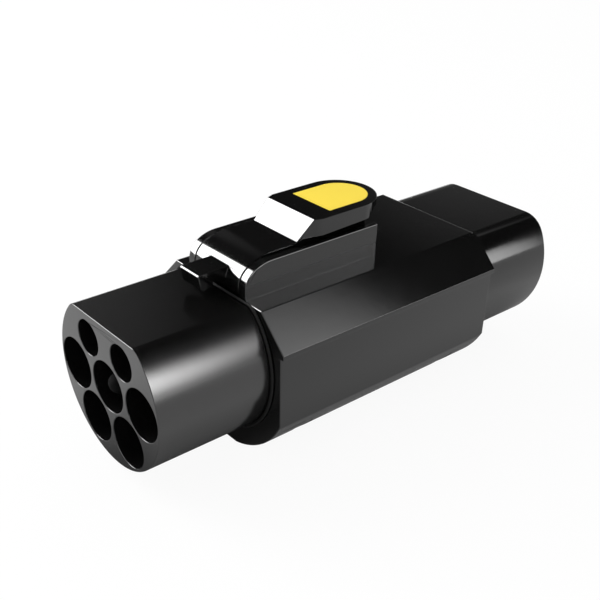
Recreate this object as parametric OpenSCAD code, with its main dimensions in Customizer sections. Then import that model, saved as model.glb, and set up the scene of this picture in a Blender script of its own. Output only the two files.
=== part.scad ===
// Electric vehicle charging adapter: a moulded body with a seven-contact plug in front,
// a seven-pin inlet nose behind and a hooked release lever on top.
// X is across the body, Y runs from the front face to the rear, Z is up.

/* [Front plug] */
// Radius of the round side of the plug
plug_r = 25; // [24.6:0.1:25.4]
// Height of the plug's flat top above the centre contact
plug_flat = 19.1; // [18.7:0.1:19.4]
// Rounding between the flat top and the round side
plug_corner = 4; // [3:0.5:5]
// Length of the plug in front of the body
plug_l = 37; // [35:0.5:42]
// Radius of the wells round the power pins
well_r = 7.68; // [7:0.04:7.8]
// Radius of the wells round the signal pins
signal_well_r = 5.28; // [4.6:0.04:5.4]
// Depth of the wells
well_depth = 30; // [26:0.5:32]
// How far the line and neutral pins sit back from the front face
pin_setback = 7; // [4:0.5:10]
// How far the signal pins sit back from the front face
signal_setback = 9; // [6:0.5:12]
// How far the earth pin sits back from the front face
earth_setback = 0.6; // [0.4:0.1:3]

/* [Contacts] */
// Distance from the earth pin to the pins beside it
power_pitch = 16.8; // [16.4:0.1:17]
// Drop of the two outer pins below the earth pin
side_drop = 0.3; // [0:0.1:0.6]
// Distance from the earth pin down to the lower row
lower_row = 14; // [13.6:0.1:14.6]
// Distance from the earth pin up to the signal pins
signal_row = 11.6; // [11.4:0.1:12]
// Distance between the two signal pins
signal_pitch = 16.8; // [16:0.1:17.4]
// Radius of a power pin
pin_r = 3; // [2.6:0.1:3.1]
// Radius of a signal pin
signal_pin_r = 1.5; // [1.2:0.1:1.6]
// Radius of a power pin where it passes through its floor
shank_r = 3.4; // [3.3:0.1:3.6]
// Radius of a signal pin where it passes through its floor
signal_shank_r = 1.9; // [1.8:0.1:2]
// Radius of the collar that holds a power pin
collar_r = 4.2; // [3.9:0.1:4.6]
// Radius of the collar that holds a signal pin
signal_collar_r = 2.4; // [2.2:0.1:2.7]
// Thickness of the collars
collar_t = 2; // [1.5:0.1:2.5]
// Length of the crimp barrel behind the clamp plate
barrel_l = 10; // [8:0.5:14]
// Radius of a power pin's crimp barrel
barrel_r = 2.8; // [2.6:0.1:3.2]
// Radius of a signal pin's crimp barrel
signal_barrel_r = 1.3; // [1.2:0.1:1.6]
// Radius of a power wire's copper core
core_r = 1.6; // [1.3:0.1:1.8]
// Radius of a signal wire's copper core
signal_core_r = 0.5; // [0.4:0.1:0.7]
// Thickness of the insulation on the wires
jacket_t = 0.8; // [0.5:0.1:1]
// Length of core inside each crimp barrel
grip_l = 7; // [5:0.5:7.5]
// Length of the plastic tips on the pins
tip_l = 4; // [3:0.5:5]
// Radius of the spigot that holds a power pin's tip
spigot_r = 1.2; // [1:0.1:1.5]
// Radius of the spigot that holds a signal pin's tip
signal_spigot_r = 0.6; // [0.5:0.1:0.8]
// Length of the spigots
spigot_l = 2; // [1:0.5:2]

/* [Body] */
// Length of the body
body_l = 87; // [84:0.5:100]
// Height of the flat top above the centre contact
top_z = 19.5; // [19.5:0.1:20.5]
// Half width of the flat top
top_half = 20.2; // [19.5:0.1:21]
// Half width of the upper shell at its widest
ridge_half = 29.9; // [29.5:0.1:30.4]
// Height of the lower end of the slanted side
ridge_z = 9.8; // [9.5:0.1:10.4]
// Height of the joint between the two shells
split_z = 8.3; // [7.9:0.1:8.6]
// How far the upper shell stands out past the lower shell
overhang = 1.2; // [0.8:0.1:1.4]
// Radius of the round belly
belly_r = 32; // [31.6:0.1:32.6]
// Depth of the flat foot below the centre contact
foot_z = 31; // [30.8:0.1:31.4]
// Thickness of the shells
wall = 2.6; // [2.2:0.1:2.8]
// Thickness of the shells' end walls
end_wall = 3; // [2.5:0.1:3.5]
// Rounding of the upper shell's rear edge
rear_edge_r = 2; // [1:0.25:2.5]
// Depth of the skirt that lines up the two shells
skirt_h = 2; // [1.5:0.1:2.5]
// Thickness of the skirt
skirt_t = 1.3; // [1:0.1:1.5]

/* [Plug and nose seats] */
// Radius of the root that passes through each end wall
root_r = 23.6; // [23:0.1:23.8]
// Height of the flat on the front root
root_flat = 15.9; // [15.5:0.1:16]
// Height of the flat on the rear root
rear_root_flat = 15; // [14.6:0.1:15.3]
// Rounding of the roots' corners
root_corner = 4; // [3:0.5:5]
// Thickness of the clamp plates
plate_t = 3; // [2.5:0.1:4]
// Width of the clamp plates' rim over the end wall
plate_rim = 1.8; // [1.6:0.1:1.9]
// Width of the clamp plates' rim over the roots' flats
plate_top_rim = 0.5; // [0.3:0.1:0.6]
// Clearance between the clamp plates and the shells
plate_gap = 0.2; // [0.1:0.05:0.3]
// Width of the seal ring's side round the plug
seal_t = 1.1; // [0.8:0.1:1.4]
// Thickness of the seal ring over the plug's flat
seal_top_t = 0.8; // [0.6:0.1:1]
// Length of the seal ring along the plug
seal_l = 0.7; // [0.5:0.1:1.5]
// Thickness of the rear gasket
gasket_t = 1; // [0.8:0.1:1.5]
// How far the rear gasket lies back from the nose's outside
gasket_inset = 0.4; // [0.2:0.1:0.6]
// Distance of the side clamp screws from the centre line
clamp_screw_x = 17.5; // [17:0.1:18]
// Height of the side clamp screws
clamp_screw_z = 9; // [8.6:0.1:9.4]
// Depth of the lower clamp screw below the centre contact
clamp_screw_low = 19.5; // [19.2:0.1:19.8]
// Radius of the clamp screws
clamp_screw_r = 1.4; // [1.2:0.1:1.5]
// Length of the clamp screws
clamp_screw_l = 10; // [8:0.5:10.5]
// Radius of the clamp screws' heads
clamp_head_r = 2.6; // [2.3:0.1:2.8]
// Height of the clamp screws' heads
clamp_head_h = 2; // [1.5:0.1:2.5]

/* [Rear nose] */
// Radius of the round side of the nose
nose_r = 26.3; // [26:0.1:26.6]
// Height of the nose's flat top above the centre contact
nose_flat = 16.6; // [16.4:0.1:17]
// Rounding between the nose's flat top and its round side
nose_corner = 8.7; // [8:0.1:9]
// Length of the nose behind the body
nose_l = 32.5; // [32:0.5:38]
// Wall of the nose round its open end
nose_wall = 2.1; // [1.8:0.1:2.4]
// Depth of the nose's open end
nose_depth = 25.5; // [24:0.5:26]
// Length of the rear pins inside the nose
rear_pin_l = 16; // [13:0.5:17]
// How much longer the rear earth pin is
earth_lead = 2; // [1:0.5:3]
// How much shorter the rear signal pins are
signal_lag = 2.5; // [1:0.5:4]

/* [Lever bracket] */
// Distance between the two ears
ear_gap = 21; // [20.8:0.1:21.4]
// Thickness of an ear
ear_t = 2.9; // [2.8:0.1:3.2]
// Height of the ears' top edge
ear_top = 29.5; // [29.2:0.1:29.8]
// Length of the ears
ear_l = 49.4; // [48.5:0.1:49.8]
// Radius of the arch's front end
arch_r = 6; // [5.5:0.1:6.5]
// Height of the centre of the arch's front end
arch_z = 22.6; // [22.2:0.1:23]
// Angle at which the arch's front end passes into its flatter rear part
arch_turn = 120; // [115:5:125]
// Distance from the body's front to the recess inside the ears
recess_start = 20; // [19.6:0.1:20.4]
// Height of the recess inside the ears
recess_z = 26; // [25.5:0.1:26.5]
// Depth of the recess inside the ears
recess_t = 1.5; // [1.5:0.1:1.7]

/* [Lever] */
// Clearance between the lever and each ear
lever_side_gap = 0.3; // [0.3:0.05:0.4]
// Height of the lever's top ahead of the ramp
lever_top = 30.2; // [30:0.1:30.4]
// Height of the lever's underside at the pivot
lever_floor = 20.6; // [20.5:0.05:20.8]
// Rise of the lever's underside behind the pivot, in degrees
floor_rise = 7; // [7:0.1:8]
// Distance from the body's front to the pivot
pivot_back = 13; // [12.6:0.1:13.4]
// Height of the pivot
pivot_z = 24; // [23.8:0.1:24.2]
// Radius of the pivot pin
pivot_r = 1.6; // [1.4:0.1:1.8]
// Thickness of the closed end of the pivot pin's bore
pivot_skin = 1; // [0.8:0.1:1.4]
// Gap between the pivot pin's ends and the ends of its bore
pivot_end_gap = 0.1; // [0.05:0.05:0.2]
// Distance from the body's front to the foot of the ramp
ramp_start = 21; // [20.8:0.1:21.4]
// Length of the ramp
ramp_l = 5.8; // [5.4:0.1:6.2]
// Height of the pad's top
pad_top = 35.7; // [35.4:0.1:36]
// Half width of the pad
pad_half = 11.5; // [11.2:0.1:11.6]
// Half width of the ramp at its foot
ramp_half = 9.9; // [9.6:0.1:10.2]
// Half width of the ramp at its top
brow_half = 10.6; // [10.4:0.1:10.8]
// Length over which the brow widens to the pad
brow_l = 2.4; // [2:0.2:3]
// Distance from the body's front to the rear end of the pad
pad_back = 57; // [56.6:0.1:57.4]
// Thickness of the pad's rear lip
lip_t = 2.2; // [2:0.1:2.6]
// Length of the pad's rear lip behind the slanted underside
lip_l = 6; // [5.6:0.1:6.4]
// Height of the slanted underside's foot above the lever's top
lip_foot = 0.8; // [0.6:0.1:1]
// Distance from the lever's rear face to the knee of the slanted underside
knee_l = 1.1; // [0.9:0.1:1.3]
// Height of that knee above the lever's top
knee_h = 2.4; // [2.2:0.1:2.6]
// Distance from the body's front to the lever's rear face
lever_back = 47.4; // [47:0.1:47.8]
// Half width of the pad's coloured inlay
inlay_half = 8.3; // [8:0.1:8.6]
// Distance from the body's front to the inlay's front edge
inlay_start = 34.6; // [34:0.1:35.2]
// Distance from the body's front to the inlay's rear end
inlay_back = 54.4; // [54:0.1:54.8]
// Depth of the inlay's pocket
inlay_t = 0.5; // [0.4:0.05:0.7]
// How far the inlay stands above the pad
inlay_proud = 0.05; // [0:0.01:0.08]

/* [Hook] */
// Half width of the hook
hook_half = 4.3; // [4:0.1:4.6]
// Reach of the hook in front of the body
hook_reach = 9.1; // [8.8:0.1:9.4]
// Height of the hook's top
hook_top = 26.5; // [26.3:0.1:26.7]
// Thickness of the hook's arm
hook_t = 3.3; // [3.1:0.1:3.5]
// Depth of the claw below the arm
claw_h = 1.9; // [1.6:0.1:2]
// Length of the claw
claw_l = 5; // [4.6:0.1:5.2]
// Chamfer of the hook's upper front edge
hook_chamfer = 0.4; // [0.2:0.1:0.6]
// Lean of the hook's front face
claw_lean = 0.8; // [0.6:0.1:1]
// Chamfer of the claw's lower edge
claw_chamfer = 0.7; // [0.5:0.1:0.9]
// Rise of the claw's underside towards its rear
claw_rise = 1; // [0.8:0.1:1.2]

/* [Spring and switch] */
// Distance from the body's front to the spring
spring_back = 39; // [37:0.1:41]
// Mean radius of the spring
spring_r = 2.8; // [2.5:0.1:3]
// Radius of the spring wire
spring_wire_r = 0.4; // [0.3:0.05:0.5]
// Number of turns in the spring
spring_turns = 7; // [5:1:9]
// Radius of the seats that hold the spring
spring_seat_r = 4; // [3.9:0.1:4.2]
// Height of the spring's lower seat
spring_floor = 16.6; // [16.4:0.1:16.8]
// Height of the spring's upper seat inside the lever
spring_roof = 31; // [30.6:0.1:31.4]
// Wall round the spring's lower seat
seat_wall = 1; // [0.8:0.1:1.2]
// Gap between the spring's ends and their seats
spring_gap = 0.02; // [0.01:0.01:0.05]
// Distance from the body's front to the switch plunger
plunger_back = 28; // [27:0.1:29]
// Radius of the switch plunger
plunger_r = 1.2; // [1:0.1:1.3]
// Gap between the plunger's top and the lever
plunger_gap = 0.35; // [0.3:0.05:0.4]
// Travel of the plunger
plunger_travel = 1.6; // [1.6:0.1:1.8]
// Clearance round the plunger where it passes through the upper shell
plunger_clear = 0.3; // [0.2:0.1:0.5]
// Thickness of the switch's floor under the plunger
switch_floor = 0.6; // [0.5:0.1:0.8]
// Gap left under the plunger at the end of its travel
plunger_stop = 0.2; // [0.1:0.1:0.3]
// Half width of the switch
switch_half = 4; // [3.5:0.1:4.5]
// Length of the switch
switch_l = 9; // [8:0.5:10]
// Height of the switch
switch_h = 3.5; // [3.4:0.1:3.7]
// Half width of the circuit board
board_half = 6.3; // [6:0.1:6.4]
// Length of the circuit board
board_l = 34; // [32:0.5:36]
// Thickness of the circuit board
board_t = 1.2; // [1:0.1:1.4]
// How far the board reaches ahead of the switch
board_lead = 4.7; // [4.5:0.1:5]
// Distance of the pegs from the board's ends
peg_end = 2.6; // [2:0.1:3]
// Width of the pegs' shoulder behind the board
peg_collar = 0.7; // [0.5:0.1:0.9]
// Radius of the pegs that hold the board
peg_r = 0.9; // [0.8:0.1:1.1]

/* [Housing screws] */
// Distance of the housing screws from the centre line
screw_x = 23.2; // [23:0.1:23.4]
// Distance of the housing screws from the body's ends
screw_end = 13; // [12.5:0.5:15]
// Radius of the screw bosses
boss_r = 3.3; // [3:0.1:3.4]
// Radius of the screws
screw_r = 1.5; // [1.3:0.1:1.6]
// Radius of the screw heads
screw_head_r = 2.8; // [2.5:0.1:2.9]
// Height of the screw heads
screw_head_h = 2.4; // [2:0.1:2.6]
// Depth of the screw heads' seats below the centre contact
screw_seat = 14.5; // [14:0.1:15]
// Length of the screws in the upper shell
screw_bite = 4; // [3.5:0.1:4.2]
// Wall round the wells of the screw heads
well_wall = 2; // [1.5:0.1:2.2]
// Clearance of the screw heads in their wells
head_gap = 0.2; // [0.1:0.05:0.3]
// How far the sealing plugs sit below the belly's surface
sealing_inset = 0.15; // [0.1:0.05:0.3]

/* [Clearances] */
// Clearance round a piece that sits in its seat
seat_gap = 0.05; // [0.03:0.01:0.08]
// Radial clearance of a moving pin or plunger
run_gap = 0.06; // [0.04:0.01:0.1]
// How much deeper a blind hole is than what sits in it
blind_gap = 0.5; // [0.3:0.1:0.8]

/* [Hidden] */
$fn = 96;
over = 1;
moulding = [0.075, 0.075, 0.08];
rubber = [0.05, 0.05, 0.05];
insulation = [0.16, 0.16, 0.17];
silver = [0.78, 0.78, 0.8];
steel = [0.62, 0.63, 0.65];
yellow = [0.99, 0.88, 0.3];

front_y = plug_l;
rear_y = front_y + body_l;
total_l = rear_y + nose_l;
front_plate_y = front_y + end_wall;
rear_plate_y = rear_y - end_wall;
nose_y = rear_y + gasket_t;
nose_floor_y = total_l - nose_depth;
plug_floor_t = front_plate_y - well_depth;
nose_floor_t = nose_floor_y - rear_plate_y;

pivot_y = front_y + pivot_back;
ear_in = ear_gap / 2;
ear_out = ear_in + ear_t;
lever_half = ear_in - lever_side_gap;
lower_half = ridge_half - overhang;
facet_turn = atan2(top_z - ridge_z, ridge_half - top_half);

plunger_y = front_y + plunger_back;
spring_y = front_y + spring_back;
switch_z = top_z - wall;
board_z = switch_z - switch_h;
board_y = plunger_y - switch_l / 2 - board_lead;
peg_ys = [board_y + peg_end, board_y + board_l - peg_end];
plunger_z = board_z + switch_floor + plunger_stop + plunger_travel;

POWER = [
    ["earth", 0, 0, earth_setback, earth_lead],
    ["neutral", power_pitch, -side_drop, pin_setback, 0],
    ["line_1", -power_pitch, -side_drop, pin_setback, 0],
    ["line_2", -power_pitch / 2, -lower_row, pin_setback, 0],
    ["line_3", power_pitch / 2, -lower_row, pin_setback, 0]
];
SIGNAL = [
    ["pilot", signal_pitch / 2, signal_row, signal_setback, -signal_lag],
    ["proximity", -signal_pitch / 2, signal_row, signal_setback, -signal_lag]
];
CLAMP_SCREWS = [
    [0, -clamp_screw_low],
    [clamp_screw_x, clamp_screw_z],
    [-clamp_screw_x, clamp_screw_z]
];
CONTACTS = [for (c = concat(POWER, SIGNAL)) c[0]];

// The origin is under the middle of the part, on the surface it rests on
module placed() translate([0, -total_l / 2, foot_z]) children();

// An outline in X and Z, drawn out along the body from y0 to y1
module along(y0, y1) translate([0, y1, 0]) rotate([90, 0, 0]) linear_extrude(y1 - y0) children();

// An outline in Y and Z, drawn out across the body from x0 to x1
module across(x0, x1) translate([x0, 0, 0]) rotate([90, 0, 90]) linear_extrude(x1 - x0) children();

module rod(r, y0, y1) translate([0, y1, 0]) rotate([90, 0, 0]) cylinder(r = r, h = y1 - y0);

module at_screws() for (p = CLAMP_SCREWS) translate([p[0], 0, p[1]]) children();

// Points of the rounded corner between the flat and the round side of a D, from the side up
function corner(r, flat, f) =
    let (cz = flat - f, cx = sqrt(pow(r - f, 2) - cz * cz), a0 = atan2(cz, cx), n = 6)
    [for (i = [0:n]) let (a = a0 + (90 - a0) * i / n) [cx + f * cos(a), cz + f * sin(a)]];

function flipped(points) = [for (i = [len(points) - 1:-1:0]) [-points[i][0], points[i][1]]];

// A round outline with a flat top and rounded corners
module d_outline(r, flat, f) {
    p = corner(r, flat, f);
    side = [for (i = [0:len(p) - 1]) i == 0 ? 2 * p[0] - p[1] : p[i]];
    difference() {
        circle(r = r);
        polygon(concat(side, flipped(side), [[-2 * r, 2 * r], [2 * r, 2 * r]]));
    }
}

// The upper shell's outline, drawn in by t, from the given height up
module upper_outline(t, low) {
    x1 = ridge_half - t;
    z1 = ridge_z - t * tan(45 - facet_turn / 2);
    x2 = top_half - t * tan(facet_turn / 2);
    side = [[x1, low], [x1, z1], [x2, top_z - t]];
    polygon(concat(side, flipped(side)));
}

// The lower shell's outline, drawn in by t, up to the given height
module lower_outline(t, high) intersection() {
    circle(r = belly_r - t);
    translate([-(lower_half - t), -(foot_z - t)]) square([2 * (lower_half - t), foot_z - t + high]);
}

module root_openings() {
    along(front_y - over, front_plate_y + over)
        d_outline(root_r + seat_gap, root_flat + seat_gap, root_corner);
    along(rear_plate_y - over, rear_y + over)
        d_outline(root_r + seat_gap, rear_root_flat + seat_gap, root_corner);
}

module at_bosses() for (s = [-1, 1], y = [front_y + screw_end, rear_y - screw_end])
    translate([s * screw_x, y, 0]) children();

// Profile of the latch's arch in Y and Z, from its front foot to where the top is level
function arch(top) =
    let (
        y1 = front_y + arch_r,
        r2 = (top - arch_z - arch_r * sin(arch_turn)) / (1 - sin(arch_turn)),
        y2 = y1 - (r2 - arch_r) * cos(arch_turn),
        z2 = arch_z - (r2 - arch_r) * sin(arch_turn)
    )
    concat(
        [for (a = [180:-10:arch_turn]) [y1 + arch_r * cos(a), arch_z + arch_r * sin(a)]],
        [for (a = [arch_turn - 5:-5:90]) [y2 + r2 * cos(a), z2 + r2 * sin(a)]]
    );

function lever_underside(y) = lever_floor + (y - pivot_y) * tan(floor_rise);

module ear() difference() {
    across(ear_in, ear_out) polygon(concat(
        [[front_y, top_z - over]],
        arch(ear_top),
        [[front_y + ear_l, ear_top], [front_y + ear_l, top_z - over]]
    ));
    translate([ear_in - over, front_y + recess_start, recess_z])
        cube([recess_t + over, ear_l, ear_top]);
}

module top_shell() color(moulding) placed() difference() {
    union() {
        difference() {
            along(front_y, rear_y) upper_outline(0, split_z);
            along(front_plate_y, rear_plate_y) upper_outline(wall, split_z - over);
        }
        intersection() {
            union() {
                at_bosses() translate([0, 0, split_z]) cylinder(r = boss_r, h = top_z);
                for (s = [-1, 1]) skirt(s);
            }
            along(front_y + over, rear_y - over) upper_outline(wall / 2, split_z - skirt_h);
        }
        translate([0, spring_y, spring_floor - seat_wall]) cylinder(r = spring_seat_r + seat_wall, h = wall);
        for (y = peg_ys) translate([0, y, 0]) {
            translate([0, 0, board_z]) cylinder(r = peg_r + peg_collar, h = switch_h + over);
            translate([0, 0, board_z - board_t]) cylinder(r = peg_r, h = switch_h);
        }
        ear();
        mirror([1, 0, 0]) ear();
    }
    root_openings();
    rear_rounding();
    at_bosses() translate([0, 0, split_z - over]) cylinder(r = screw_r + seat_gap, h = screw_bite + over + blind_gap);
    translate([0, spring_y, spring_floor]) cylinder(r = spring_seat_r, h = wall + over);
    translate([0, plunger_y, board_z]) cylinder(r = plunger_r + plunger_clear, h = top_z);
    translate([-ear_out - over, pivot_y, pivot_z]) rotate([0, 90, 0])
        cylinder(r = pivot_r + seat_gap, h = 2 * ear_out + over - pivot_skin);
}

// The inner lip that lines up the upper shell in the lower one, between the screw bosses
module skirt(s) translate([s * (lower_half - wall - seat_gap * 2 - skirt_t / 2), 0, 0])
    translate([-skirt_t / 2, front_y + screw_end + 2 * boss_r, split_z - skirt_h])
        cube([skirt_t, body_l - 2 * screw_end - 4 * boss_r, top_z]);

// Waste outside the rounded rear edge of the flat top
module rear_rounding() across(-ridge_half, ridge_half) polygon(concat(
    [for (a = [0:15:90]) [rear_y - rear_edge_r * (1 - cos(a)), top_z - rear_edge_r * (1 - sin(a))]],
    [[rear_y - rear_edge_r, top_z + over], [rear_y + over, top_z + over], [rear_y + over, top_z - rear_edge_r]]
));

module bottom_shell() color(moulding) placed() difference() {
    union() {
        difference() {
            along(front_y, rear_y) lower_outline(0, split_z);
            along(front_plate_y, rear_plate_y) lower_outline(wall, split_z + over);
        }
        intersection() {
            at_bosses() {
                translate([0, 0, -foot_z]) cylinder(r = boss_r, h = foot_z + split_z);
                translate([0, 0, -foot_z])
                    cylinder(r = screw_head_r + well_wall, h = foot_z - screw_seat + well_wall);
            }
            along(front_y + over, rear_y - over) lower_outline(wall / 2, split_z);
        }
    }
    root_openings();
    at_bosses() {
        translate([0, 0, -foot_z]) cylinder(r = screw_r + 2 * seat_gap, h = foot_z + top_z);
        translate([0, 0, -foot_z - over])
            cylinder(r = screw_head_r + head_gap, h = foot_z + over - screw_seat);
    }
}

// Plugs that close the screw wells, cut to the curve of the belly
module screw_plugs() color(rubber) placed() intersection() {
    at_bosses() translate([0, 0, -foot_z])
        cylinder(r = screw_head_r + head_gap - seat_gap, h = foot_z - screw_seat - screw_head_h);
    along(front_y, rear_y) lower_outline(sealing_inset, split_z);
}

module housing_screws() color(steel) placed() at_bosses() difference() {
    union() {
        translate([0, 0, -screw_seat - screw_head_h]) cylinder(r = screw_head_r, h = screw_head_h);
        translate([0, 0, -screw_seat]) cylinder(r = screw_r, h = screw_seat + split_z + screw_bite);
    }
    translate([0, 0, -screw_seat - screw_head_h - over])
        cylinder(r = screw_head_r / 2, h = screw_head_h / 2 + over, $fn = 6);
}

// A clamp screw along Z, head upwards from z = 0
module clamp_screw() difference() {
    union() {
        cylinder(r = clamp_head_r, h = clamp_head_h);
        translate([0, 0, -clamp_screw_l]) cylinder(r = clamp_screw_r, h = clamp_screw_l);
    }
    translate([0, 0, clamp_head_h / 2]) cylinder(r = clamp_head_r / 2, h = clamp_head_h, $fn = 6);
}

// A plate behind an end wall that presses the pins' collars into their seats
module clamp_plate(y0, flat) difference() {
    along(y0, y0 + plate_t) intersection() {
        d_outline(root_r + plate_rim, flat + plate_top_rim, root_corner);
        union() {
            upper_outline(wall + plate_gap, split_z);
            lower_outline(wall + plate_gap, split_z + over);
        }
    }
    for (c = POWER) translate([c[1], 0, c[2]]) rod(barrel_r + seat_gap, y0 - over, y0 + plate_t + over);
    for (c = SIGNAL) translate([c[1], 0, c[2]])
        rod(signal_barrel_r + seat_gap, y0 - over, y0 + plate_t + over);
    at_screws() rod(clamp_screw_r + seat_gap, y0 - over, y0 + plate_t + over);
}

module front_clamp_plate() color(insulation) placed() clamp_plate(front_plate_y, root_flat);

module rear_clamp_plate() color(insulation) placed() clamp_plate(rear_plate_y - plate_t, rear_root_flat);

module front_clamp_screws() color(steel) placed() at_screws()
    translate([0, front_plate_y + plate_t, 0]) rotate([-90, 0, 0]) clamp_screw();

module rear_clamp_screws() color(steel) placed() at_screws()
    translate([0, rear_plate_y - plate_t, 0]) rotate([90, 0, 0]) clamp_screw();

module front_plug() color(moulding) placed() difference() {
    union() {
        along(0, front_y) d_outline(plug_r, plug_flat, plug_corner);
        along(front_y - over, front_plate_y) d_outline(root_r, root_flat, root_corner);
    }
    for (c = POWER) translate([c[1], 0, c[2]]) {
        rod(well_r, -over, well_depth);
        rod(shank_r + seat_gap, well_depth - over, front_plate_y + over);
        rod(collar_r + seat_gap, front_plate_y - collar_t, front_plate_y + over);
    }
    for (c = SIGNAL) translate([c[1], 0, c[2]]) {
        rod(signal_well_r, -over, well_depth);
        rod(signal_shank_r + seat_gap, well_depth - over, front_plate_y + over);
        rod(signal_collar_r + seat_gap, front_plate_y - collar_t, front_plate_y + over);
    }
    at_screws() rod(clamp_screw_r + seat_gap, front_plate_y + plate_t - clamp_screw_l - blind_gap, front_plate_y + over);
}

module nose_seal() color(rubber) placed() along(front_y - seal_l, front_y) difference() {
    d_outline(plug_r + seal_t, plug_flat + seal_top_t, plug_corner + seal_top_t);
    d_outline(plug_r + seat_gap, plug_flat + seat_gap, plug_corner);
}

module rear_socket() color(moulding) placed() difference() {
    union() {
        along(nose_y, total_l) d_outline(nose_r, nose_flat, nose_corner);
        along(rear_plate_y, nose_y + over) d_outline(root_r, rear_root_flat, root_corner);
    }
    along(nose_floor_y, total_l + over)
        d_outline(nose_r - nose_wall, nose_flat - nose_wall, nose_corner - nose_wall);
    for (c = POWER) translate([c[1], 0, c[2]]) {
        rod(shank_r + seat_gap, rear_plate_y - over, total_l);
        rod(collar_r + seat_gap, rear_plate_y - over, rear_plate_y + collar_t);
    }
    for (c = SIGNAL) translate([c[1], 0, c[2]]) {
        rod(signal_shank_r + seat_gap, rear_plate_y - over, total_l);
        rod(signal_collar_r + seat_gap, rear_plate_y - over, rear_plate_y + collar_t);
    }
    at_screws() rod(clamp_screw_r + seat_gap, rear_plate_y - over, rear_plate_y - plate_t + clamp_screw_l + blind_gap);
}

module rear_gasket() color(rubber) placed() along(rear_y, nose_y) difference() {
    d_outline(nose_r - gasket_inset, nose_flat - gasket_inset, nose_corner - gasket_inset);
    d_outline(root_r + seat_gap, rear_root_flat + seat_gap, root_corner);
}

// A pin with its crimp barrel behind the plate's face at z = 0, its collar and shank in a floor
// of the given thickness, and a spigot for its plastic tip at height h
module contact(r, shank, collar, barrel, core, spigot, floor_t, h) rotate_extrude() polygon(
    let (back = -plate_t - barrel_l, bore = core + seat_gap, bore_end = back + grip_l + blind_gap)
    [
        [0, bore_end], [bore, bore_end], [bore, back], [barrel, back], [barrel, 0], [collar, 0],
        [collar, collar_t], [shank, collar_t], [shank, floor_t], [r, floor_t],
        [r, h], [spigot, h], [spigot, h + spigot_l], [0, h + spigot_l]
    ]
);

// The domed plastic cap that sits on a pin's spigot, its base at z = 0
module tip(r, spigot) rotate_extrude() polygon(concat(
    [[0, spigot_l + seat_gap], [spigot + seat_gap, spigot_l + seat_gap], [spigot + seat_gap, 0], [r, 0]],
    [for (a = [0:15:90]) [r * cos(a), tip_l - r + r * sin(a)]]
));

function is_signal(c) = c[2] == signal_row;
function pin_radius(c) = is_signal(c) ? signal_pin_r : pin_r;
function pin_spigot(c) = is_signal(c) ? signal_spigot_r : spigot_r;
function front_tip_y(c) = c[3] + tip_l;
function rear_tip_y(c) = nose_floor_y + rear_pin_l + c[4];

module pin(c, floor_t, h)
    if (is_signal(c))
        contact(signal_pin_r, signal_shank_r, signal_collar_r, signal_barrel_r, signal_core_r, signal_spigot_r, floor_t, h);
    else
        contact(pin_r, shank_r, collar_r, barrel_r, core_r, spigot_r, floor_t, h);

module front_pin(c) color(silver) placed() translate([c[1], front_plate_y, c[2]]) rotate([90, 0, 0])
    pin(c, plug_floor_t, front_plate_y - front_tip_y(c));

module front_tip(c) color(moulding) placed() translate([c[1], front_tip_y(c), c[2]]) rotate([90, 0, 0])
    tip(pin_radius(c), pin_spigot(c));

module rear_pin(c) color(silver) placed() translate([c[1], rear_plate_y, c[2]]) rotate([-90, 0, 0])
    pin(c, nose_floor_t, rear_tip_y(c) - rear_plate_y);

module rear_tip(c) color(moulding) placed() translate([c[1], rear_tip_y(c), c[2]]) rotate([-90, 0, 0])
    tip(pin_radius(c), pin_spigot(c));

module wire(c) color(c[0] == "earth" ? "yellowgreen" : "dimgray") placed()
    translate([c[1], 0, c[2]]) {
        core = is_signal(c) ? signal_core_r : core_r;
        y0 = front_plate_y + plate_t + barrel_l;
        y1 = rear_plate_y - plate_t - barrel_l;
        rod(core, y0 - grip_l, y1 + grip_l);
        rod(core + jacket_t, y0, y1);
    }

module latch_lever() color(moulding) placed() difference() {
    union() {
        lever_body();
        intersection() {
            pad_side();
            pad_plan();
        }
        hook();
    }
    translate([-ear_out, pivot_y, pivot_z]) rotate([0, 90, 0]) cylinder(r = pivot_r + run_gap, h = 2 * ear_out);
    translate([0, spring_y, lever_floor]) cylinder(r = spring_seat_r, h = spring_roof - lever_floor);
    translate([0, 0, pad_top - inlay_t]) linear_extrude(over) inlay_outline(0);
}

// The part of the lever between the ears
module lever_body() across(-lever_half, lever_half) polygon(concat(
    [[front_y, lever_floor]],
    arch(lever_top),
    [
        [front_y + ramp_start, lever_top],
        [front_y + ramp_start + ramp_l, pad_top - lip_t],
        [front_y + lever_back, pad_top - lip_t],
        [front_y + lever_back, lever_underside(front_y + lever_back)],
        [pivot_y, lever_floor]
    ]
));

// Side view of the ramp and thumb pad, across the pad's full width
module pad_side() across(-pad_half - over, pad_half + over) polygon([
    [front_y + ramp_start, lever_top],
    [front_y + ramp_start + ramp_l, pad_top],
    [front_y + pad_back + over, pad_top],
    [front_y + pad_back + over, pad_top - lip_t],
    [front_y + pad_back - lip_l, pad_top - lip_t],
    [front_y + lever_back + knee_l, lever_top + knee_h],
    [front_y + lever_back, lever_top + lip_foot]
]);

// Plan of the ramp and thumb pad: a rounded rear end and a narrower brow
module pad_plan() translate([0, 0, lever_floor]) linear_extrude(pad_top) {
    y0 = front_y + ramp_start;
    y1 = y0 + ramp_l;
    yc = front_y + pad_back - pad_half;
    side = [[ramp_half, y0 - over], [ramp_half, y0], [brow_half, y1], [pad_half, y1 + brow_l], [pad_half, yc]];
    polygon(concat(side, flipped(side)));
    translate([0, yc]) circle(r = pad_half);
}

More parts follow.
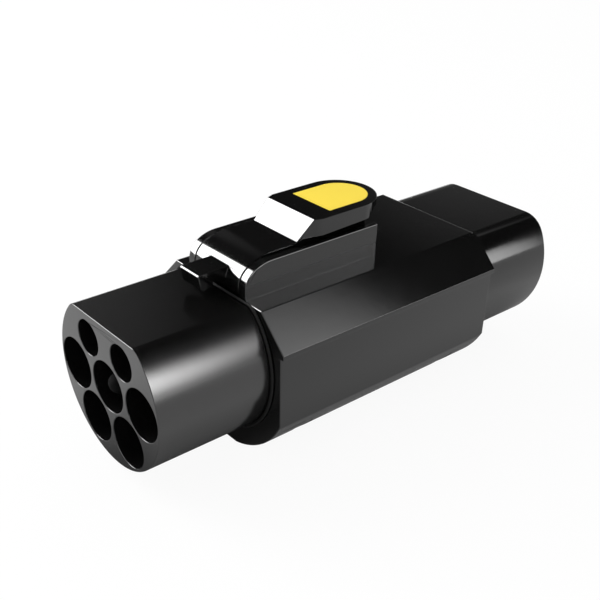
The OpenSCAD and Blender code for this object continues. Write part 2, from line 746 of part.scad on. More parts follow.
// The arm and claw that catch the latch of the mating inlet
module hook() across(-hook_half, hook_half) {
    y0 = front_y - hook_reach;
    under = hook_top - hook_t;
    tip_z = under - claw_h;
    polygon([
        [front_y + arch_r, hook_top], [y0 + hook_chamfer, hook_top], [y0, hook_top - hook_chamfer],
        [y0 + claw_lean, tip_z + claw_chamfer], [y0 + claw_lean + claw_chamfer, tip_z],
        [y0 + claw_l, tip_z + claw_rise], [y0 + claw_l, under], [front_y + arch_r, under]
    ]);
}

module inlay_outline(gap) {
    half = inlay_half - gap;
    yc = front_y + inlay_back - inlay_half;
    translate([-half, front_y + inlay_start + gap]) square([2 * half, yc - front_y - inlay_start - gap]);
    translate([0, yc]) circle(r = half);
}

module pad_inlay() color(yellow) placed()
    translate([0, 0, pad_top - inlay_t]) linear_extrude(inlay_t + inlay_proud) inlay_outline(seat_gap);

module latch_pin() color(steel) placed() translate([-ear_out + pivot_end_gap, pivot_y, pivot_z])
    rotate([0, 90, 0]) cylinder(r = pivot_r, h = 2 * ear_out - pivot_skin - 2 * pivot_end_gap);

// Ring of wire points at angle a along the coil, with k points round the wire
function coil_ring(a, z, k) = [
    for (i = [0:k - 1]) let (b = 360 * i / k, r = spring_r + spring_wire_r * cos(b))
        [r * cos(a), r * sin(a), z + spring_wire_r * sin(b)]
];

module latch_spring() color(steel) placed() translate([0, spring_y, 0]) {
    k = 6;
    steps = spring_turns * 14;
    z0 = spring_floor + spring_wire_r + spring_gap;
    rise = spring_roof - spring_floor - 2 * spring_wire_r - 2 * spring_gap;
    points = [for (j = [0:steps]) each coil_ring(360 * spring_turns * j / steps, z0 + rise * j / steps, k)];
    sides = [
        for (j = [0:steps - 1], i = [0:k - 1])
            let (m = (i + 1) % k) each [
                [j * k + i, (j + 1) * k + i, j * k + m],
                [j * k + m, (j + 1) * k + i, (j + 1) * k + m]
            ]
    ];
    ends = [[for (i = [0:k - 1]) i], [for (i = [k - 1:-1:0]) steps * k + i]];
    polyhedron(points, concat(sides, ends));
}

module switch_plunger() color(yellow) placed() translate([0, plunger_y, plunger_z])
    cylinder(r = plunger_r, h = lever_underside(plunger_y) - plunger_gap - plunger_z);

module lock_switch() color(insulation) placed() difference() {
    translate([-switch_half, plunger_y - switch_l / 2, board_z]) cube([2 * switch_half, switch_l, switch_h]);
    translate([0, plunger_y, board_z + switch_floor]) cylinder(r = plunger_r + run_gap, h = switch_h);
}

module lock_board() color("darkgreen") placed() difference() {
    translate([-board_half, board_y, board_z - board_t]) cube([2 * board_half, board_l, board_t]);
    for (y = peg_ys) translate([0, y, board_z - board_t - over])
        cylinder(r = peg_r + seat_gap, h = board_t + 2 * over);
}

top_shell();
bottom_shell();
front_plug();
nose_seal();
front_clamp_plate();
rear_socket();
rear_gasket();
rear_clamp_plate();
for (c = concat(POWER, SIGNAL)) {
    front_pin(c);
    front_tip(c);
    rear_pin(c);
    rear_tip(c);
    wire(c);
}
latch_lever();
pad_inlay();
latch_pin();
latch_spring();
lock_switch();
switch_plunger();
lock_board();
housing_screws();
screw_plugs();
front_clamp_screws();
rear_clamp_screws();
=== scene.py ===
import math

import bmesh
import bpy
from mathutils import Matrix, Vector


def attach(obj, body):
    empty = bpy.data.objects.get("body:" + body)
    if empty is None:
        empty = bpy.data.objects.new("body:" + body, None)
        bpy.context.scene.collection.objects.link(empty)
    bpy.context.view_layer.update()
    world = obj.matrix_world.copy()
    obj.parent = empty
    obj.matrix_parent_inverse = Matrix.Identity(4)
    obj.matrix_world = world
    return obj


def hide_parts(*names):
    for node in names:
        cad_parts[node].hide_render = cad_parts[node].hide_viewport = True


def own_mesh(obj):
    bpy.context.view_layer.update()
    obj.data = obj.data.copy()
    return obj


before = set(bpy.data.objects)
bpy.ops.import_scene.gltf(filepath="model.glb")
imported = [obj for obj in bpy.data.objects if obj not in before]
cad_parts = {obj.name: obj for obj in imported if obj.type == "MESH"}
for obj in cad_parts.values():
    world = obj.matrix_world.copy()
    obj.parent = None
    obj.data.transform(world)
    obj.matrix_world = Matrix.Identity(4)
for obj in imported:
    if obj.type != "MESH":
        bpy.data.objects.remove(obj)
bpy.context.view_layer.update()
scene = bpy.context.scene

# Camera: stands in front of the plug's right side, a little above, as a 56 mm lens on a full frame sees it.
# The frame is shifted so that the adapter sits above the lens axis.
view_turn = math.radians(49.005)
view_tilt = math.radians(32.730)
view_roll = math.radians(1.388)
back = Vector((
    math.sin(view_turn) * math.cos(view_tilt),
    -math.cos(view_turn) * math.cos(view_tilt),
    math.sin(view_tilt),
))
level = (-back).cross(Vector((0, 0, 1))).normalized()
upright = level.cross(-back)
right = level * math.cos(view_roll) + upright * math.sin(view_roll)
up = upright * math.cos(view_roll) - level * math.sin(view_roll)
camera_place = (0.19358, -0.17750, 0.17055)
picture_side, picture_rise = 600, 80
lens = bpy.data.cameras.new("camera")
lens.lens = 56.0
lens.sensor_width = 36.0
lens.shift_y = picture_rise / picture_side
lens.clip_start = 0.01
camera = bpy.data.objects.new("camera", lens)
facing = Matrix((right, up, back)).transposed().to_4x4()
camera.matrix_world = Matrix.Translation(camera_place) @ facing
scene.collection.objects.link(camera)
scene.camera = camera


# Body shells: black engineering plastic, injection moulded in polished steel tools. The lower shell is a
# trough with a round belly, and the upper one overhangs it and carries the two ears of the lever's bracket.
# Sealing plugs close the screws' wells from below.
def moulded_skin():
    """Shared effect: flow marks, orange peel and fine grain of a moulded surface."""
    group = bpy.data.node_groups.new("moulded_skin", "ShaderNodeTree")
    sockets = group.interface
    for name, kind, value in (
        ("Shade", "NodeSocketColor", (0.01, 0.01, 0.01, 1)),
        ("Roughness", "NodeSocketFloat", 0.2),
        ("Spread", "NodeSocketFloat", 0.05),
        ("Peel", "NodeSocketFloat", 0.05),
        ("Grain", "NodeSocketFloat", 0.05),
        ("Grain size", "NodeSocketFloat", 2500.0),
    ):
        sockets.new_socket(name=name, in_out="INPUT", socket_type=kind).default_value = value
    sockets.new_socket(name="Color", in_out="OUTPUT", socket_type="NodeSocketColor")
    sockets.new_socket(name="Roughness", in_out="OUTPUT", socket_type="NodeSocketFloat")
    sockets.new_socket(name="Normal", in_out="OUTPUT", socket_type="NodeSocketVector")
    nodes, links = group.nodes, group.links
    given = nodes.new("NodeGroupInput")
    out = nodes.new("NodeGroupOutput")
    place = nodes.new("ShaderNodeTexCoord")

    flow = nodes.new("ShaderNodeTexNoise")
    flow.inputs["Scale"].default_value = 28.0
    flow.inputs["Detail"].default_value = 3.0
    links.new(place.outputs["Object"], flow.inputs["Vector"])
    tone = nodes.new("ShaderNodeMapRange")
    tone.inputs["To Min"].default_value = 0.85
    tone.inputs["To Max"].default_value = 1.15
    links.new(flow.outputs["Fac"], tone.inputs["Value"])
    shade = nodes.new("ShaderNodeVectorMath")
    shade.operation = "SCALE"
    links.new(given.outputs["Shade"], shade.inputs[0])
    links.new(tone.outputs["Result"], shade.inputs["Scale"])
    links.new(shade.outputs["Vector"], out.inputs["Color"])

    handling = nodes.new("ShaderNodeTexNoise")
    handling.inputs["Scale"].default_value = 90.0
    handling.inputs["Detail"].default_value = 6.0
    handling.inputs["Roughness"].default_value = 0.62
    links.new(place.outputs["Object"], handling.inputs["Vector"])
    centred = nodes.new("ShaderNodeMath")
    centred.operation = "SUBTRACT"
    centred.inputs[1].default_value = 0.5
    links.new(handling.outputs["Fac"], centred.inputs[0])
    rough = nodes.new("ShaderNodeMath")
    rough.operation = "MULTIPLY_ADD"
    links.new(centred.outputs[0], rough.inputs[0])
    links.new(given.outputs["Spread"], rough.inputs[1])
    links.new(given.outputs["Roughness"], rough.inputs[2])
    links.new(rough.outputs[0], out.inputs["Roughness"])

    peel = nodes.new("ShaderNodeTexNoise")
    peel.inputs["Scale"].default_value = 240.0
    peel.inputs["Detail"].default_value = 1.0
    links.new(place.outputs["Object"], peel.inputs["Vector"])
    wave = nodes.new("ShaderNodeBump")
    wave.inputs["Distance"].default_value = 0.00006
    links.new(peel.outputs["Fac"], wave.inputs["Height"])
    links.new(given.outputs["Peel"], wave.inputs["Strength"])
    speckle = nodes.new("ShaderNodeTexNoise")
    speckle.inputs["Detail"].default_value = 2.0
    links.new(given.outputs["Grain size"], speckle.inputs["Scale"])
    links.new(place.outputs["Object"], speckle.inputs["Vector"])
    grain = nodes.new("ShaderNodeBump")
    grain.inputs["Distance"].default_value = 0.00003
    links.new(speckle.outputs["Fac"], grain.inputs["Height"])
    links.new(given.outputs["Grain"], grain.inputs["Strength"])
    links.new(wave.outputs["Normal"], grain.inputs["Normal"])
    links.new(grain.outputs["Normal"], out.inputs["Normal"])
    return group


moulded = moulded_skin()


def plastic(name, shade, roughness, spread=0.06, peel=0.1, grain=0.06, grain_size=2500.0):
    """A material whose colour, roughness and normal come from the moulded skin."""
    material = bpy.data.materials.new(name)
    material.use_nodes = True
    shader = material.node_tree.nodes["Principled BSDF"]
    skin = material.node_tree.nodes.new("ShaderNodeGroup")
    skin.node_tree = moulded
    skin.inputs["Shade"].default_value = (*shade, 1)
    skin.inputs["Roughness"].default_value = roughness
    skin.inputs["Spread"].default_value = spread
    skin.inputs["Peel"].default_value = peel
    skin.inputs["Grain"].default_value = grain
    skin.inputs["Grain size"].default_value = grain_size
    for socket, target in (("Color", "Base Color"), ("Roughness", "Roughness"), ("Normal", "Normal")):
        material.node_tree.links.new(skin.outputs[socket], shader.inputs[target])
    return material


def dress(material, *names):
    """Gives carried-over solids their material."""
    for name in names:
        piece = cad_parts[name]
        piece.data.materials.clear()
        piece.data.materials.append(material)


edge_steps = 3
sharp_angle = 28
weld_reach = 0.000005


def break_edges(name, radius):
    """Rounds a solid's sharp edges, as a real tool or mould leaves them, and smooths what is curved."""
    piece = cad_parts[name]
    if "custom_normal" in piece.data.attributes:
        piece.data.attributes.remove(piece.data.attributes["custom_normal"])
    piece.data.polygons.foreach_set("use_smooth", [True] * len(piece.data.polygons))
    weld = piece.modifiers.new("weld", "WELD")
    weld.merge_threshold = weld_reach
    edge = piece.modifiers.new("edge", "BEVEL")
    edge.width = radius
    edge.segments = edge_steps
    edge.limit_method = "ANGLE"
    edge.angle_limit = math.radians(sharp_angle)
    edge.miter_outer = "MITER_ARC"
    edge.use_clamp_overlap = False
    edge.face_strength_mode = "FSTR_ALL"
    gloss = piece.modifiers.new("gloss", "WEIGHTED_NORMAL")
    gloss.keep_sharp = False
    gloss.use_face_influence = True


housing_plastic = plastic("housing_plastic", (0.003, 0.003, 0.003), roughness=0.11)
dress(housing_plastic, "bottom_shell", "top_shell", "screw_plugs")
break_edges("bottom_shell", radius=0.0003)
break_edges("top_shell", radius=0.0003)

# Front plug: glass-filled black plastic in one satin moulding, with its seven wells cored out. A rubber ring
# seals it against the body's front, and a gasket seals the rear nose in the same way.
plug_plastic = plastic("plug_plastic", (0.0036, 0.0035, 0.0035), roughness=0.19, grain=0.12)
plug_plastic.node_tree.nodes["Principled BSDF"].inputs["IOR"].default_value = 1.65
dress(plug_plastic, "front_plug")
break_edges("front_plug", radius=0.00025)
seal_rubber = plastic(
    "seal_rubber", (0.005, 0.005, 0.005), roughness=0.65, spread=0.15, peel=0.3, grain=0.4, grain_size=900.0
)
seal_rubber.node_tree.nodes["Principled BSDF"].inputs["Specular IOR Level"].default_value = 0.2
dress(seal_rubber, "nose_seal", "rear_gasket")
break_edges("nose_seal", radius=0.0004)

# Contacts: turned copper-alloy pins with silver plating, each with a black plastic tip that keeps fingers off
# the metal. Moulded clamp plates behind the plug and the nose hold them by their collars.
contacts = ("earth", "neutral", "line_1", "line_2", "line_3", "pilot", "proximity")


def plated(name, shade, roughness):
    """Plated metal with the fine rings that turning leaves round the pin."""
    material = bpy.data.materials.new(name)
    material.use_nodes = True
    nodes, links = material.node_tree.nodes, material.node_tree.links
    shader = nodes["Principled BSDF"]
    shader.inputs["Metallic"].default_value = 1.0
    place = nodes.new("ShaderNodeTexCoord")
    rings = nodes.new("ShaderNodeTexWave")
    rings.bands_direction = "Y"
    rings.inputs["Scale"].default_value = 1400.0
    rings.inputs["Distortion"].default_value = 1.5
    rings.inputs["Detail"].default_value = 2.0
    links.new(place.outputs["Object"], rings.inputs["Vector"])
    turned = nodes.new("ShaderNodeBump")
    turned.inputs["Strength"].default_value = 0.08
    turned.inputs["Distance"].default_value = 0.00002
    links.new(rings.outputs["Fac"], turned.inputs["Height"])
    links.new(turned.outputs["Normal"], shader.inputs["Normal"])
    tarnish = nodes.new("ShaderNodeTexNoise")
    tarnish.inputs["Scale"].default_value = 300.0
    tarnish.inputs["Detail"].default_value = 5.0
    links.new(place.outputs["Object"], tarnish.inputs["Vector"])
    tone = nodes.new("ShaderNodeValToRGB")
    tone.color_ramp.elements[0].color = (*[c * 0.8 for c in shade], 1)
    tone.color_ramp.elements[1].color = (*shade, 1)
    links.new(tarnish.outputs["Fac"], tone.inputs["Fac"])
    links.new(tone.outputs["Color"], shader.inputs["Base Color"])
    rough = nodes.new("ShaderNodeMapRange")
    rough.inputs["To Min"].default_value = roughness * 1.3
    rough.inputs["To Max"].default_value = roughness * 0.8
    links.new(tarnish.outputs["Fac"], rough.inputs["Value"])
    links.new(rough.outputs["Result"], shader.inputs["Roughness"])
    return material


contact_silver = plated("contact_silver", (0.72, 0.71, 0.68), roughness=0.25)
tip_plastic = plastic("tip_plastic", (0.003, 0.003, 0.003), roughness=0.7, grain=0.3)
tip_plastic.node_tree.nodes["Principled BSDF"].inputs["IOR"].default_value = 1.12
for contact in contacts:
    dress(contact_silver, "front_pin_" + contact, "rear_pin_" + contact)
    dress(tip_plastic, "front_tip_" + contact, "rear_tip_" + contact)
insulator_plastic = plastic("insulator_plastic", (0.006, 0.006, 0.0062), roughness=0.5, grain=0.2)
dress(insulator_plastic, "front_clamp_plate", "rear_clamp_plate")

# Wires: stranded copper in soft insulation, crimped into the barrels of the pins at both ends. The earth wire
# is green, and the others are black.
wire_insulation = plastic("wire_insulation", (0.03, 0.03, 0.032), roughness=0.5, grain=0.2)
earth_insulation = plastic("earth_insulation", (0.16, 0.42, 0.04), roughness=0.5, grain=0.2)
dress(earth_insulation, "wire_earth")
dress(wire_insulation, *["wire_" + contact for contact in contacts[1:]])

# Rear nose: the open D-shaped shroud of the inlet side, moulded in one with its floor in the body's plastic.
# The rear clamp plate draws it against the gasket.
dress(housing_plastic, "rear_socket")
break_edges("rear_socket", radius=0.0005)

# Screws and latch pin: zinc-plated steel. The screws hold the clamp plates and close the shells from below,
# and the pin sits in the bracket's two ears and carries the lever.
zinc_steel = plated("zinc_steel", (0.55, 0.56, 0.58), roughness=0.32)
dress(zinc_steel, "housing_screws", "front_clamp_screws", "rear_clamp_screws", "latch_pin")

# Lock switch: a moulded switch on a small green circuit board under the upper shell. Its plunger comes up
# through the shell, where the lever presses it.
board_green = plastic("board_green", (0.01, 0.09, 0.03), roughness=0.4)
dress(board_green, "lock_board")
dress(insulator_plastic, "lock_switch")

# Lever: one black moulding with arch, ramp, thumb pad and hook, which turns on its pin between the ears. The
# inlay pressed into its pad is yellow plastic, and so is the switch's plunger below it.
dress(housing_plastic, "latch_lever")
break_edges("latch_lever", radius=0.00015)
inlay_yellow = plastic("inlay_yellow", (0.97, 0.74, 0.07), roughness=0.35)
dress(inlay_yellow, "pad_inlay", "switch_plunger")

# Return spring: a coil of zinc-plated steel wire, which stands loose between its seat on the upper shell and
# the one inside the lever. A real one shortens as the pad is pressed; this fixed coil stands for the stiff
# solid.
coil_radius, wire_radius = 0.0028, 0.0004
coil_turns, steps_a_turn, wire_sides = 7, 28, 12
spring_y = -0.0023
spring_seat, spring_top = 0.0476, 0.0620
seat_gap = 0.00002
low = spring_seat + wire_radius + seat_gap
rise = spring_top - spring_seat - 2 * (wire_radius + seat_gap)
ring_count = coil_turns * steps_a_turn + 1
coil_points = []
for step in range(ring_count):
    turned = math.radians(360 * step / steps_a_turn)
    for side in range(wire_sides):
        round_wire = math.radians(360 * side / wire_sides)
        reach = coil_radius + wire_radius * math.cos(round_wire)
        height = low + rise * step / (ring_count - 1) + wire_radius * math.sin(round_wire)
        coil_points.append((reach * math.cos(turned), spring_y + reach * math.sin(turned), height))
coil_faces = [tuple(range(wire_sides - 1, -1, -1))]
for step in range(ring_count - 1):
    for side in range(wire_sides):
        here = step * wire_sides + side
        after = step * wire_sides + (side + 1) % wire_sides
        coil_faces.append((here, here + wire_sides, after + wire_sides, after))
coil_faces.append(tuple((ring_count - 1) * wire_sides + side for side in range(wire_sides)))
coil_mesh = bpy.data.meshes.new("return_spring")
coil_mesh.from_pydata(coil_points, [], coil_faces)
coil_mesh.polygons.foreach_set("use_smooth", [len(face.vertices) == 4 for face in coil_mesh.polygons])
coil_mesh.materials.append(zinc_steel)
return_spring = bpy.data.objects.new("return_spring", coil_mesh)
scene.collection.objects.link(return_spring)
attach(return_spring, "adapter")
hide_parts("latch_spring")
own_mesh(return_spring)


# Studio floor: a sheet of white paper that takes the adapter's soft shadow. The camera sees it as nearly pure
# white, and so does the gloss, except close under the adapter, where the gloss sees a painted shadow on the
# paper.
floor_reach = 3.0
painted_shadow_half_size = (0.004, 0.078, 0)
painted_shadow_fade = 0.055
camera_glow, gloss_glow = 0.93, 0.82
floor_corners = [(x * floor_reach, y * floor_reach, 0) for x, y in ((-1, -1), (1, -1), (1, 1), (-1, 1))]
floor_mesh = bpy.data.meshes.new("floor")
floor_mesh.from_pydata(floor_corners, [], [(0, 1, 2, 3)])
floor = bpy.data.objects.new("floor", floor_mesh)
scene.collection.objects.link(floor)
floor_white = bpy.data.materials.new("floor_white")
floor_white.use_nodes = True
nodes, links = floor_white.node_tree.nodes, floor_white.node_tree.links
nodes.clear()
paper = nodes.new("ShaderNodeBsdfDiffuse")
paper.inputs["Color"].default_value = (0.9, 0.9, 0.9, 1)
light = nodes.new("ShaderNodeEmission")
path = nodes.new("ShaderNodeLightPath")
camera_share = nodes.new("ShaderNodeMath")
camera_share.operation = "MULTIPLY"
camera_share.inputs[1].default_value = camera_glow
links.new(path.outputs["Is Camera Ray"], camera_share.inputs[0])
gloss_seen = nodes.new("ShaderNodeMath")
gloss_seen.operation = "MAXIMUM"
links.new(path.outputs["Is Glossy Ray"], gloss_seen.inputs[0])
links.new(path.outputs["Is Transmission Ray"], gloss_seen.inputs[1])
# Painted shadow: in the gloss, the paper's glow fades to nothing inside a box round the adapter's footprint.
place = nodes.new("ShaderNodeTexCoord")
outward = nodes.new("ShaderNodeVectorMath")
outward.operation = "ABSOLUTE"
links.new(place.outputs["Object"], outward.inputs[0])
beyond = nodes.new("ShaderNodeVectorMath")
beyond.operation = "SUBTRACT"
beyond.inputs[1].default_value = painted_shadow_half_size
links.new(outward.outputs["Vector"], beyond.inputs[0])
beside = nodes.new("ShaderNodeVectorMath")
beside.operation = "MAXIMUM"
links.new(beyond.outputs["Vector"], beside.inputs[0])
away = nodes.new("ShaderNodeVectorMath")
away.operation = "LENGTH"
links.new(beside.outputs["Vector"], away.inputs[0])
outside_painted_shadow = nodes.new("ShaderNodeMapRange")
outside_painted_shadow.interpolation_type = "SMOOTHSTEP"
outside_painted_shadow.inputs["From Max"].default_value = painted_shadow_fade
links.new(away.outputs["Value"], outside_painted_shadow.inputs["Value"])
mirrored = nodes.new("ShaderNodeMapRange")
mirrored.inputs["To Min"].default_value = 1.0
links.new(gloss_seen.outputs[0], mirrored.inputs["Value"])
links.new(outside_painted_shadow.outputs["Result"], mirrored.inputs["To Max"])
links.new(mirrored.outputs["Result"], light.inputs["Strength"])
share = nodes.new("ShaderNodeMath")
share.operation = "MULTIPLY_ADD"
share.inputs[1].default_value = gloss_glow
links.new(gloss_seen.outputs[0], share.inputs[0])
links.new(camera_share.outputs[0], share.inputs[2])
mix = nodes.new("ShaderNodeMixShader")
links.new(share.outputs[0], mix.inputs["Fac"])
links.new(paper.outputs[0], mix.inputs[1])
links.new(light.outputs[0], mix.inputs[2])
out = nodes.new("ShaderNodeOutputMaterial")
links.new(mix.outputs[0], out.inputs["Surface"])
floor_mesh.materials.append(floor_white)


# Studio tent: a dark dome over the table that only reflections see, a painted reflection that lights and
# shades nothing.
# Two weak glows on it paint reflections that stand for a pale wall behind the adapter, and a broad one for
# the light room in front of its plug.
def stage_glow(name, see_through=True, first_only=False):
    """A glowing stage material and its level's socket; it can show on the first reflection only."""
    material = bpy.data.materials.new(name)
    material.use_nodes = True
    material.cycles.emission_sampling = "NONE"
    nodes, links = material.node_tree.nodes, material.node_tree.links
    nodes.clear()
    glow = nodes.new("ShaderNodeEmission")
    out = nodes.new("ShaderNodeOutputMaterial")
    if see_through:
        clear = nodes.new("ShaderNodeBsdfTransparent")
        both = nodes.new("ShaderNodeAddShader")
        links.new(glow.outputs[0], both.inputs[0])
        links.new(clear.outputs[0], both.inputs[1])
        links.new(both.outputs[0], out.inputs["Surface"])
    else:
        links.new(glow.outputs[0], out.inputs["Surface"])
    if first_only:
        first_bounce = 1.5
        path = nodes.new("ShaderNodeLightPath")
        first = nodes.new("ShaderNodeMath")
        first.operation = "LESS_THAN"
        first.inputs[1].default_value = first_bounce
        links.new(path.outputs["Ray Depth"], first.inputs[0])
        gated = nodes.new("ShaderNodeMath")
        gated.operation = "MULTIPLY"
        links.new(first.outputs[0], gated.inputs[0])
        links.new(gated.outputs[0], glow.inputs["Strength"])
        return material, gated.inputs[1], nodes, links
    return material, glow.inputs["Strength"], nodes, links


def stage_gloss_only(card):
    """Hides a stage piece from everything but reflections."""
    for flag in ("visible_camera", "visible_diffuse", "visible_transmission", "visible_shadow"):
        setattr(card, flag, False)
    scene.collection.objects.link(card)


def toward(azimuth, elevation):
    """Unit vector at an azimuth turned from +Y towards +X and at an elevation, both in degrees."""
    turn, tilt = math.radians(azimuth), math.radians(elevation)
    return Vector((math.sin(turn) * math.cos(tilt), math.cos(turn) * math.cos(tilt), math.sin(tilt)))


tent_radius, tent_hem = 2.5, -0.01
painted_dark_level = 0.02
tent = bpy.data.meshes.new("dark_tent")
shell = bmesh.new()
bmesh.ops.create_uvsphere(shell, u_segments=48, v_segments=24, radius=tent_radius)
bmesh.ops.delete(shell, geom=[v for v in shell.verts if v.co.z < tent_hem], context="VERTS")
shell.to_mesh(tent)
shell.free()
# The dome's material: a painted dark reflection, with painted glows added below.
painted_tent_reflection, tent_level, nodes, links = stage_glow("painted_tent_reflection", see_through=False)
tent.materials.append(painted_tent_reflection)
stage_gloss_only(bpy.data.objects.new("dark_tent", tent))
place = nodes.new("ShaderNodeTexCoord")
heading = nodes.new("ShaderNodeVectorMath")
heading.operation = "NORMALIZE"
links.new(place.outputs["Object"], heading.inputs[0])
# Each glow: azimuth and elevation of its middle, its full and its faded radius in degrees, and its strength.
tent_glows = (
    (-35, 9, 6, 19, 0.16),
    (-74, 28, 4, 16, 0.2),
    (178, 12, 10, 45, 2.45),
)
sum_so_far = None
for azimuth, elevation, inner, outer, strength in tent_glows:
    aim_at = nodes.new("ShaderNodeVectorMath")
    aim_at.operation = "DOT_PRODUCT"
    aim_at.inputs[1].default_value = toward(azimuth, elevation)
    links.new(heading.outputs["Vector"], aim_at.inputs[0])
    patch = nodes.new("ShaderNodeMapRange")
    patch.interpolation_type = "SMOOTHSTEP"
    patch.inputs["From Min"].default_value = math.cos(math.radians(outer))
    patch.inputs["From Max"].default_value = math.cos(math.radians(inner))
    patch.inputs["To Max"].default_value = strength
    links.new(aim_at.outputs["Value"], patch.inputs["Value"])
    total = nodes.new("ShaderNodeMath")
    total.inputs[1].default_value = painted_dark_level
    links.new(patch.outputs["Result"], total.inputs[0])
    if sum_so_far:
        links.new(sum_so_far, total.inputs[1])
    sum_so_far = total.outputs[0]
links.new(sum_so_far, tent_level)

# Key softbox: in front on the left. A lamp gives its light and shadow, but the gloss doesn't see it; a
# glowing card of the same size, a painted highlight on the first reflection only, is what the body's gloss
# shows of it. The plug's gloss shows a weaker painted card, a little further out because two glows in one
# plane hide each other. A faint card overhead is a painted reflection in the body's upper faces and lights
# nothing.
studio_centre = Vector((0, -0.03, 0.05))
key_distance = 0.95
key_place = studio_centre + toward(-124.5, 25) * key_distance
key_width, key_height = 0.60, 0.81
key_power = 9.0
key = bpy.data.lights.new("key_softbox", "AREA")
key.shape = "RECTANGLE"
key.size = key_width
key.size_y = key_height
key.energy = key_power
key_softbox = bpy.data.objects.new("key_softbox", key)
key_softbox.location = key_place
key_softbox.rotation_euler = (key_place - studio_centre).to_track_quat("Z", "Y").to_euler()
key_softbox.visible_glossy = False
scene.collection.objects.link(key_softbox)


def shown_to(card, pieces):
    """Lets only the given solids show a stage card in their gloss."""
    shows = bpy.data.collections.new(card.name + "_shows")
    for piece in pieces:
        shows.objects.link(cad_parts[piece])
    card.light_linking.receiver_collection = shows


def soft_card(name, place, width, height, strength, edge, pieces):
    """A see-through glowing rectangle that faces the adapter and fades over a share of its half size."""
    mesh = bpy.data.meshes.new(name)
    corners = ((-1, -1), (1, -1), (1, 1), (-1, 1))
    mesh.from_pydata([(x * width / 2, y * height / 2, 0) for x, y in corners], [], [(0, 1, 2, 3)])
    material, level, nodes, links = stage_glow(name, first_only=True)
    mesh.materials.append(material)
    card = bpy.data.objects.new(name, mesh)
    card.location = place
    card.rotation_euler = (place - studio_centre).to_track_quat("Z", "Y").to_euler()
    stage_gloss_only(card)
    shown_to(card, pieces)
    spot = nodes.new("ShaderNodeTexCoord")
    scaled = nodes.new("ShaderNodeVectorMath")
    scaled.operation = "DIVIDE"
    scaled.inputs[1].default_value = (width / 2, height / 2, 1)
    links.new(spot.outputs["Object"], scaled.inputs[0])
    outward = nodes.new("ShaderNodeVectorMath")
    outward.operation = "ABSOLUTE"
    links.new(scaled.outputs["Vector"], outward.inputs[0])
    split = nodes.new("ShaderNodeSeparateXYZ")
    links.new(outward.outputs["Vector"], split.inputs[0])
    furthest = nodes.new("ShaderNodeMath")
    furthest.operation = "MAXIMUM"
    links.new(split.outputs["X"], furthest.inputs[0])
    links.new(split.outputs["Y"], furthest.inputs[1])
    inside = nodes.new("ShaderNodeMapRange")
    inside.interpolation_type = "SMOOTHSTEP"
    inside.inputs["From Min"].default_value = 1.0
    inside.inputs["From Max"].default_value = 1.0 - edge
    inside.inputs["To Max"].default_value = strength
    links.new(furthest.outputs[0], inside.inputs["Value"])
    links.new(inside.outputs["Result"], level)


plug_end = ["front_plug", "nose_seal"]
plug_end += [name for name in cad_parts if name.startswith(("front_pin_", "front_tip_"))]
body_side = [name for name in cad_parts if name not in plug_end]
soft_card("key_card", key_place, key_width, key_height, strength=26.0, edge=0.08, pieces=body_side)
soft_card("plug_key_card", key_place * 1.02, key_width, key_height, strength=10.0, edge=0.08, pieces=plug_end)
overhead_place = studio_centre + toward(-25, 50) * 0.9
soft_card("overhead_card", overhead_place, width=0.6, height=0.6, strength=0.6, edge=0.8, pieces=body_side)


# Side strips: see-through glows on the right that only reflections see, painted highlights. One paints a
# bright streak along the plug's round side, and the other paints a glow on the body's facet that fades out
# towards its rear.
def side_strip(name, x, along, up, pieces):
    """An upright see-through glow at x that the given pieces mirror, with what its pattern is built on."""
    mesh = bpy.data.meshes.new(name)
    corners = ((0, 0), (1, 0), (1, 1), (0, 1))
    mesh.from_pydata([(x, along[i], up[j]) for i, j in corners], [], [(0, 1, 2, 3)])
    material, level, nodes, links = stage_glow(name)
    mesh.materials.append(material)
    card = bpy.data.objects.new(name, mesh)
    stage_gloss_only(card)
    shown_to(card, pieces)
    place = nodes.new("ShaderNodeTexCoord")
    split = nodes.new("ShaderNodeSeparateXYZ")
    links.new(place.outputs["Object"], split.inputs[0])
    return level, nodes, links, split


def fade(nodes, links, socket, steps):
    """Strength that follows the given (place, strength) steps along one direction of a strip."""
    start, end = steps[0][0], steps[-1][0]
    top = max(value for _, value in steps)
    scaled = nodes.new("ShaderNodeMapRange")
    scaled.inputs["From Min"].default_value = start
    scaled.inputs["From Max"].default_value = end
    links.new(socket, scaled.inputs["Value"])
    ramp = nodes.new("ShaderNodeValToRGB")
    ramp.color_ramp.interpolation = "LINEAR"
    stops = ramp.color_ramp.elements
    for index, (where, value) in enumerate(steps):
        share = (where - start) / (end - start)
        if index == 0:
            stop = stops[0]
        elif index == len(steps) - 1:
            stop = stops[-1]
        else:
            stop = stops.new(share)
        stop.position = share
        stop.color = (value / top, value / top, value / top, 1)
    links.new(scaled.outputs["Result"], ramp.inputs["Fac"])
    full = nodes.new("ShaderNodeMath")
    full.operation = "MULTIPLY"
    full.inputs[1].default_value = top
    links.new(ramp.outputs["Color"], full.inputs[0])
    return full.outputs[0]


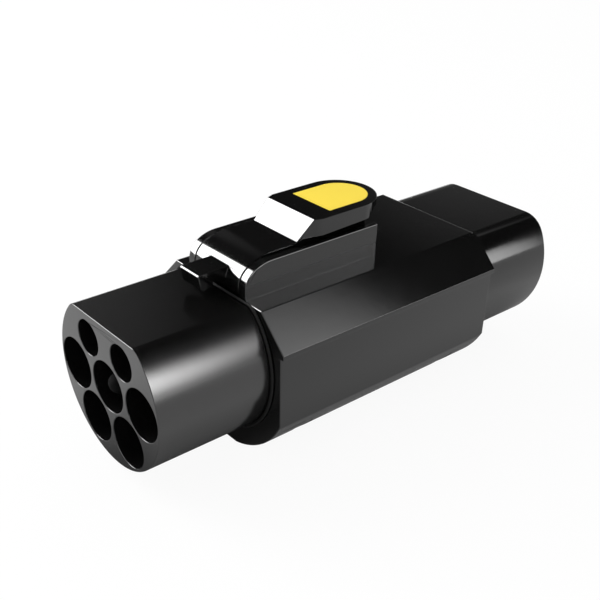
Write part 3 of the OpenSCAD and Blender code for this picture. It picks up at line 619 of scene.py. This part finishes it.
# Each strip: name, x, its span along Y and up Z, the pieces, and its steps of (place, strength) both ways.
facet_side = [name for name in body_side if name != "latch_lever"]
strips = (
    (
        "plug_strip", 0.45, (-0.10, 0.45), (0.02, 0.62), plug_end,
        ((0.12, 15.0), (0.17, 8.2), (0.20, 4.5), (0.23, 2.4), (0.30, 1.6), (0.40, 0.4)),
        ((0.02, 0.15), (0.08, 0.36), (0.12, 0.66), (0.16, 0.92), (0.22, 1.0), (0.28, 0.72), (0.36, 0.18),
         (0.44, 0.03), (0.60, 0.01)),
    ),
    (
        "body_strip", 0.46, (-0.15, 0.75), (0.03, 0.75), facet_side,
        ((0.10, 1.0), (0.45, 0.92), (0.50, 0.78), (0.53, 0.65), (0.57, 0.42), (0.595, 0.10), (0.605, 0.0)),
        ((0.03, 9.0), (0.32, 8.6), (0.50, 4.4), (0.60, 2.9), (0.70, 1.6)),
    ),
)
for name, x, along, up, pieces, along_steps, up_steps in strips:
    level, nodes, links, split = side_strip(name, x, along, up, pieces)
    product = nodes.new("ShaderNodeMath")
    product.operation = "MULTIPLY"
    links.new(fade(nodes, links, split.outputs["Y"], along_steps), product.inputs[0])
    links.new(fade(nodes, links, split.outputs["Z"], up_steps), product.inputs[1])
    links.new(product.outputs[0], level)

# Room light: even and white from all round. It is dimmer where it lights the adapter than where the camera
# and the gloss see it, so that the background stays white.
room_level, seen_level = 0.8, 1.0
world = bpy.data.worlds.new("studio")
scene.world = world
world.use_nodes = True
nodes, links = world.node_tree.nodes, world.node_tree.links
nodes.clear()
path = nodes.new("ShaderNodeLightPath")
seen = nodes.new("ShaderNodeMath")
seen.operation = "MAXIMUM"
seen_too = nodes.new("ShaderNodeMath")
seen_too.operation = "MAXIMUM"
links.new(path.outputs["Is Camera Ray"], seen.inputs[0])
links.new(path.outputs["Is Glossy Ray"], seen.inputs[1])
links.new(seen.outputs[0], seen_too.inputs[0])
links.new(path.outputs["Is Transmission Ray"], seen_too.inputs[1])
brightness = nodes.new("ShaderNodeMapRange")
brightness.inputs["To Min"].default_value = room_level
brightness.inputs["To Max"].default_value = seen_level
links.new(seen_too.outputs[0], brightness.inputs["Value"])
sky = nodes.new("ShaderNodeBackground")
sky.inputs["Color"].default_value = (1, 1, 1, 1)
links.new(brightness.outputs[0], sky.inputs["Strength"])
out = nodes.new("ShaderNodeOutputWorld")
links.new(sky.outputs[0], out.inputs["Surface"])

scene.view_settings.view_transform = "Standard"
